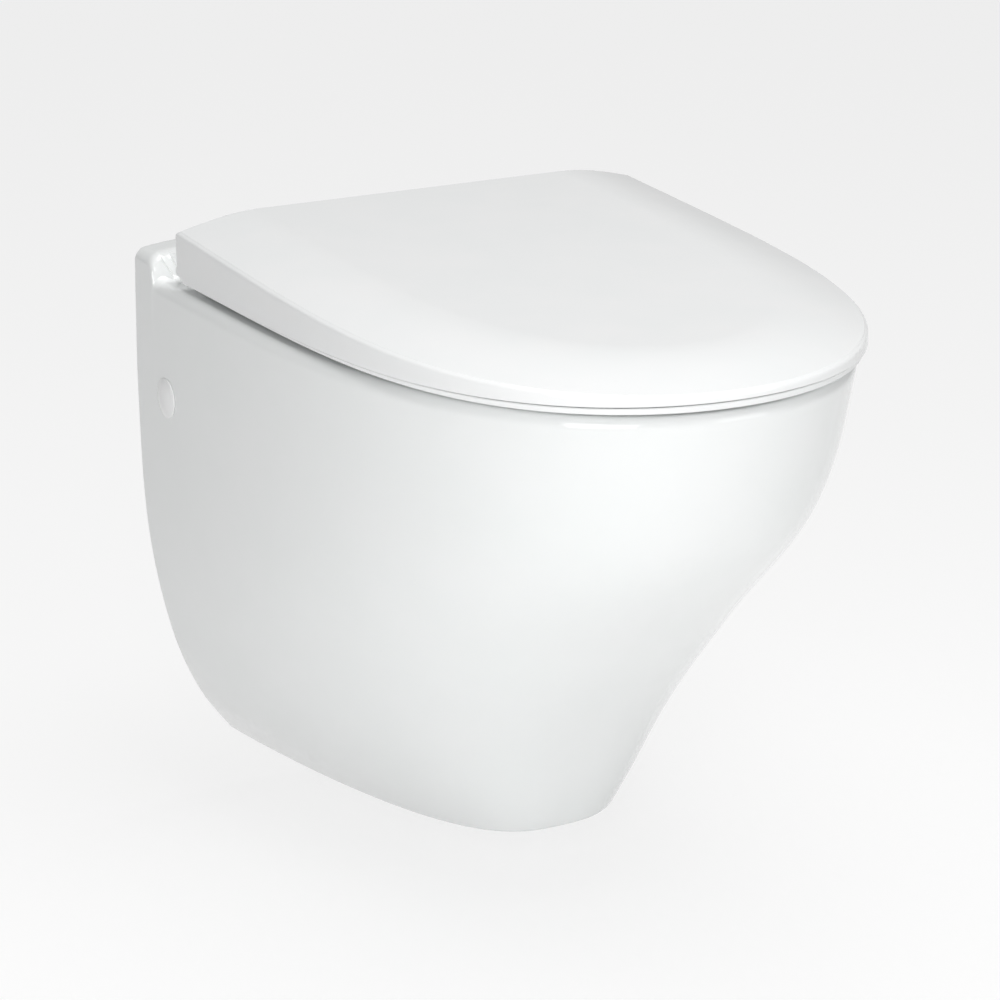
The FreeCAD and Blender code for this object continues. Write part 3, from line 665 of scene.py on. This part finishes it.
def hingeBarrels(span, outline, inset):
    # the round barrels on the hinge line and the webs that carry them, left and right
    made = []
    y, z = hinge["axisY"], hinge["axisZ"]
    for side in (-1, 1):
        x0, x1 = sorted((side * span[0], side * span[1]))
        section = [(py, rimZ + pz) for py, pz in outline]
        made.append(prismBar("web", section, x0 + inset, x1 - inset))
        made.append(roundBar("barrel", (x0, y, z), (x1, y, z), hinge["barrelRadius"]))
    return made


def makeLid():
    d = lid
    shell = lidForm(0.0, 0.0)
    carve(shell, [lidForm(d["wall"], 12.0)], "DIFFERENCE")
    r = d["hemRadius"]
    y, z = -d["rear"], rimZ + d["skirtBottom"][0]
    corner = block("corner", (-farOut, y - r, z - 10), (farOut, y + 5, z + r))
    carve(corner, [roundBar("round", (-310, y - r, z + r), (310, y - r, z + r), r)], "DIFFERENCE")
    wide, inside = d["opening"], d["halfWidth"] - d["wall"]
    opening = block("opening", (-wide, y - d["wall"] - 1, rimZ - 5), (wide, y + 2, rimZ + 33))
    low = rimZ + seat["barHigh"] + d["seatGap"]
    under = block("under", (-inside, y - d["wall"] - 1, rimZ - 5), (inside, y + 2, low))
    carve(shell, [corner, opening, under], "DIFFERENCE")
    bosses = []
    for px, py in d["pads"]:
        top = tilted(d["crease"], py) + d["crown"] - d["wall"] - 0.5
        bosses.append(roundBar("boss", (px, py, rimZ + d["padTop"]), (px, py, top), d["bossRadius"]))
    carve(shell, bosses + hingeBarrels(hinge["lidBarrel"], d["arm"], 1), "UNION")
    smoothShade(shell)
    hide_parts("lid")
    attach(shell, "lid")
    print("lid made:", len(shell.data.polygons), "faces")
    return shell


# the seat

seat = dict(
    inset=2.5, low=3.2, flangeTop=(4.4, 7.2), ringRear=76, opening=(430, 208, 108),
    crown=[(8, 7.6), (12, 10.8), (20, 13.4), (28, 14.9), (36, 15.5)], edgeRadius=5.0, lowRadius=2.0,
    wallOut=14, wallIn=8, channelTop=9.5, barLow=6.6, barHigh=13, barEnd=38.5, barCorner=12, barEdge=2.2,
    pads=[(-104, -398), (104, -398), (-143, -150), (143, -150)], padRoom=12,
    web=[(-60, 12.5), (-44, 12.5), (-46, 22), (-58, 22)],
)


def seatOuter(inset, heights):
    return lidRing(inset, heights, 0.0, 0.0)


def seatInner(grow, height, outer):
    # the opening's oval, with its points on the same bearings as the outer ring's
    front, rear, half = seat["opening"]
    middle, reach = -(front + rear) / 2, (front - rear) / 2 + grow
    across = half + grow
    ring = []
    for x, y, z in outer:
        dx, dy = x / across, (y - middle) / reach
        size = (abs(dx) ** eggRoundness + abs(dy) ** eggRoundness) ** (1 / eggRoundness)
        ring.append((x / size, middle + (y - middle) / size, rimZ + height))
    return ring


def seatRingForm():
    d = seat
    flat = (d["low"], d["low"])
    outer = seatOuter(d["inset"], flat)
    rings = [seatOuter(d["inset"] + 0.5, flat), seatOuter(d["inset"], (d["low"] + 0.5, d["low"] + 0.5))]
    rings.append(seatOuter(d["inset"], [h - 0.6 for h in d["flangeTop"]]))
    rings.append(seatOuter(d["inset"] + 0.6, d["flangeTop"]))
    rings.append(seatOuter(d["crown"][0][0], d["flangeTop"]))
    rise = curveThrough(d["crown"])
    first, last = d["crown"][0][0], d["crown"][-1][0]
    for i in range(15):
        inset = first + (last - first) * (i / 14) ** 1.3
        height = rise(inset)
        rings.append(seatOuter(inset, (height, height)))
    top, r = d["crown"][-1][1], d["edgeRadius"]
    for i in range(9):
        a = math.pi / 2 * i / 8
        rings.append(seatInner(r * (1 - math.sin(a)), top - r * (1 - math.cos(a)), outer))
    r = d["lowRadius"]
    for i in range(5):
        a = math.pi / 2 * i / 4
        rings.append(seatInner(r * (1 - math.cos(a)), d["low"] + r * (1 - math.sin(a)), outer))
    bm, verts = skinOver(rings, capFirst=False, capLast=False)
    closing = [e for e in bm.edges if e.is_boundary]
    bmesh.ops.bridge_loops(bm, edges=closing)
    bmesh.ops.recalc_face_normals(bm, faces=bm.faces)
    dropSide(bm, (0, -d["ringRear"], 0), (0, 1, 0))
    return toObject(bm, "seatRing")


def seatBarForm():
    d = seat
    half = lid["halfWidth"] - d["inset"] + 1
    bm = bmesh.new()
    bmesh.ops.create_cube(bm, size=1)
    low = Vector((-half, -d["ringRear"] - 6, rimZ + d["barLow"]))
    high = Vector((half, -d["barEnd"], rimZ + d["barHigh"]))
    bmesh.ops.scale(bm, vec=high - low, verts=bm.verts)
    bmesh.ops.translate(bm, vec=(low + high) / 2, verts=bm.verts)
    rear = -d["barEnd"] - 0.01
    corners = [e for e in bm.edges if all(v.co.y > rear for v in e.verts)
               and abs(e.verts[0].co.z - e.verts[1].co.z) > 1]
    bmesh.ops.bevel(bm, geom=corners, offset=d["barCorner"], segments=12, profile=0.5,
                    affect="EDGES", material=-1)
    front = low.y + 0.01
    rims = [e for e in bm.edges if abs(e.verts[0].co.z - e.verts[1].co.z) < 0.01
            and any(v.co.y > front for v in e.verts) and e.calc_face_angle(0) > 0.5]
    bmesh.ops.bevel(bm, geom=rims, offset=d["barEdge"], segments=5, profile=0.5, affect="EDGES", material=-1)
    return toObject(bm, "seatBar")


def makeSeat():
    d = seat
    ring = seatRingForm()
    outer = lidRing(d["wallOut"], (-1, -1), 0.0, 0.0)
    low = [(x, y, rimZ - 1) for x, y, z in outer]
    high = [(x, y, rimZ + d["channelTop"]) for x, y, z in outer]
    channel = toObject(skinOver([low, high])[0], "channel")
    kept = [toObject(skinOver([seatInner(d["wallIn"], z, outer) for z in (-2, 20)])[0], "kept"),
            block("kept", (-farOut, -d["ringRear"] - 12, 0), (farOut, 0, 200))]
    for x, y in d["pads"]:
        kept.append(roundBar("kept", (x, y, rimZ - 2), (x, y, rimZ + 20), d["padRoom"]))
    carve(channel, kept, "DIFFERENCE")
    carve(ring, [channel], "DIFFERENCE")
    carve(ring, [seatBarForm()], "UNION")
    side0, r = lid["halfWidth"] - lid["wall"] - 3 * lid["seatGap"], lid["hemRadius"]
    y, z = -lid["rear"] - r, rimZ + lid["skirtBottom"][0] + r
    reach = r + lid["seatGap"]
    away = []
    for side in (-1, 1):
        x0, x1 = sorted((side * side0, side * 200))
        away.append(block("room", (x0, -d["ringRear"] - 20, z - reach), (x1, y, rimZ + 60)))
        away.append(roundBar("room", (x0, y, z), (x1, y, z), reach, count=128))
        x0, x1 = sorted((side * hinge["notch"][0], side * hinge["notch"][1]))
        away.append(block("notch", (x0, -86, rimZ - 5), (x1, -30, rimZ + 30)))
    carve(ring, away, "DIFFERENCE")
    carve(ring, hingeBarrels(hinge["seatBarrel"], d["web"], 0), "UNION")
    smoothShade(ring)
    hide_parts("seat_ring")
    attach(ring, "seat")
    print("seat made:", len(ring.data.polygons), "faces")
    return ring


# the caps over the side holes

def makeSideCap(side, node):
    d = sideFixing
    face, r, edge, dome = d["capFace"], d["capRadius"], d["capEdge"], d["capDome"]
    profile = [(face + 0.3, 0), (face + 0.3, 5.5), (face - 6.8, 5.5), (face - 6.8, 6.9), (face, 6.9)]
    profile += [(face, r - 0.4), (face + 0.15, r - 0.1), (face + 0.45, r), (face + edge, r - 0.12)]
    big = ((r - 0.4) ** 2 + dome ** 2) / (2 * dome)
    steps = 18
    for i in range(steps + 1):
        radius = (r - 0.4) * (1 - i / steps)
        profile.append((face + edge + 0.15 + dome - big + math.sqrt(big ** 2 - radius ** 2), radius))
    cap = turned("sideCap", [(side * x, radius) for x, radius in profile], -d["reach"], 0)
    smoothShade(cap, 40)
    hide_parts(node)
    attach(cap, "pan")
    return cap


# everything in place

for part in frame["record"]["subparts"]:
    dress(frame["nodes"][part["node"]], finishOf[part["material_slot"]])
print("frame dressed:", len(frame["nodes"]), "nodes")
makePan()
dress(makeLid(), polishedDuroplast)
dress(makeSeat(), polishedDuroplast)
for side, word in ((-1, "left"), (1, "right")):
    dress(makeSideCap(side, "side_cap_" + word), mouldedWhiteAbs)


# camera, floor and light

studio = dict(fill=0.2, seen=0.5, floorLift=0.77, horizonLift=0.35, floorSize=6000, floorZ=-320)
camera = dict(place=(-1.0242, -2.0048, 0.6282), yaw=29.326, pitch=18.377, lens=115.2)
cam = bpy.data.objects.new("camera", bpy.data.cameras.new("camera"))
cam.data.lens = camera["lens"]
cam.data.sensor_width = 36
cam.location = camera["place"]
cam.rotation_euler = (math.radians(90 - camera["pitch"]), 0, -math.radians(camera["yaw"]))
bpy.context.scene.collection.objects.link(cam)
bpy.context.scene.camera = cam


def areaLight(name, place, target, size, power):
    lamp = bpy.data.objects.new(name, bpy.data.lights.new(name, "AREA"))
    lamp.data.shape = "RECTANGLE"
    lamp.data.size, lamp.data.size_y = size
    lamp.data.energy = power
    lamp.location = place
    lamp.rotation_euler = (Vector(target) - Vector(place)).to_track_quat("-Z", "Y").to_euler()
    bpy.context.scene.collection.objects.link(lamp)


def straightView(owner):
    # 1 where the camera sees a thing, itself or through a mirror or glass, and 0 for its light
    rays = addNode(owner, "ShaderNodeLightPath")
    seen = addNode(owner, "ShaderNodeMath", {"operation": "MAXIMUM"},
                   links={0: rays.outputs["Is Camera Ray"], 1: rays.outputs["Is Glossy Ray"]})
    seen = addNode(owner, "ShaderNodeMath", {"operation": "MAXIMUM"},
                   links={0: seen.outputs[0], 1: rays.outputs["Is Transmission Ray"]})
    return rays, seen


# the main light comes low from the camera's side, and the wall side falls off into shade
areaLight("softboxFront", (-1.15, -1.75, 0.35), (0, -0.3, -0.08), (1.0, 1.2), 17)
areaLight("softboxRight", (0.8, -1.9, 0.4), (0, -0.3, -0.08), (0.9, 1.2), 5.5)
areaLight("softboxTop", (0.1, -0.5, 1.8), (0, -0.25, 0), (1.4, 1.4), 24)

bm = bmesh.new()
bmesh.ops.create_grid(bm, x_segments=1, y_segments=1, size=studio["floorSize"])
bmesh.ops.translate(bm, vec=(0, 0, studio["floorZ"]), verts=bm.verts)
floor = toObject(bm, "floor")
paleFloor, shader = newFinish("paleFloor", "#f4f4f4", 0.8)
seen = straightView(paleFloor)[1]
lift = addNode(paleFloor, "ShaderNodeMath", {"operation": "MULTIPLY"}, {1: studio["floorLift"]},
               {0: seen.outputs[0]})
shader.inputs["Emission Color"].default_value = (1, 1, 1, 1)
paleFloor.node_tree.links.new(lift.outputs[0], shader.inputs["Emission Strength"])
# to the camera the floor glows and takes less light, so it is near white and keeps a soft shadow
tone = addNode(paleFloor, "ShaderNodeMix", {"data_type": "RGBA"},
               {6: toLinear("#f4f4f4"), 7: toLinear("#7c7c7c")}, {0: seen.outputs[0]})
paleFloor.node_tree.links.new(tone.outputs[2], shader.inputs["Base Color"])
dress(floor, paleFloor)

world = bpy.data.worlds.new("studio")
bpy.context.scene.world = world
world.use_nodes = True
backdrop = world.node_tree.nodes["Background"]
backdrop.inputs["Color"].default_value = (1, 1, 1, 1)
rays, seen = straightView(world)
level = addNode(world, "ShaderNodeMapRange", inputs={"To Min": studio["fill"], "To Max": studio["seen"]},
                links={"Value": seen.outputs[0]})
# the camera alone sees the backdrop as pale as the far floor
pale = addNode(world, "ShaderNodeMath", {"operation": "MULTIPLY_ADD"}, {1: studio["horizonLift"]},
               {0: rays.outputs["Is Camera Ray"], 2: level.outputs["Result"]})
world.node_tree.links.new(pale.outputs[0], backdrop.inputs["Strength"])
bpy.context.scene.view_settings.view_transform = "Standard"
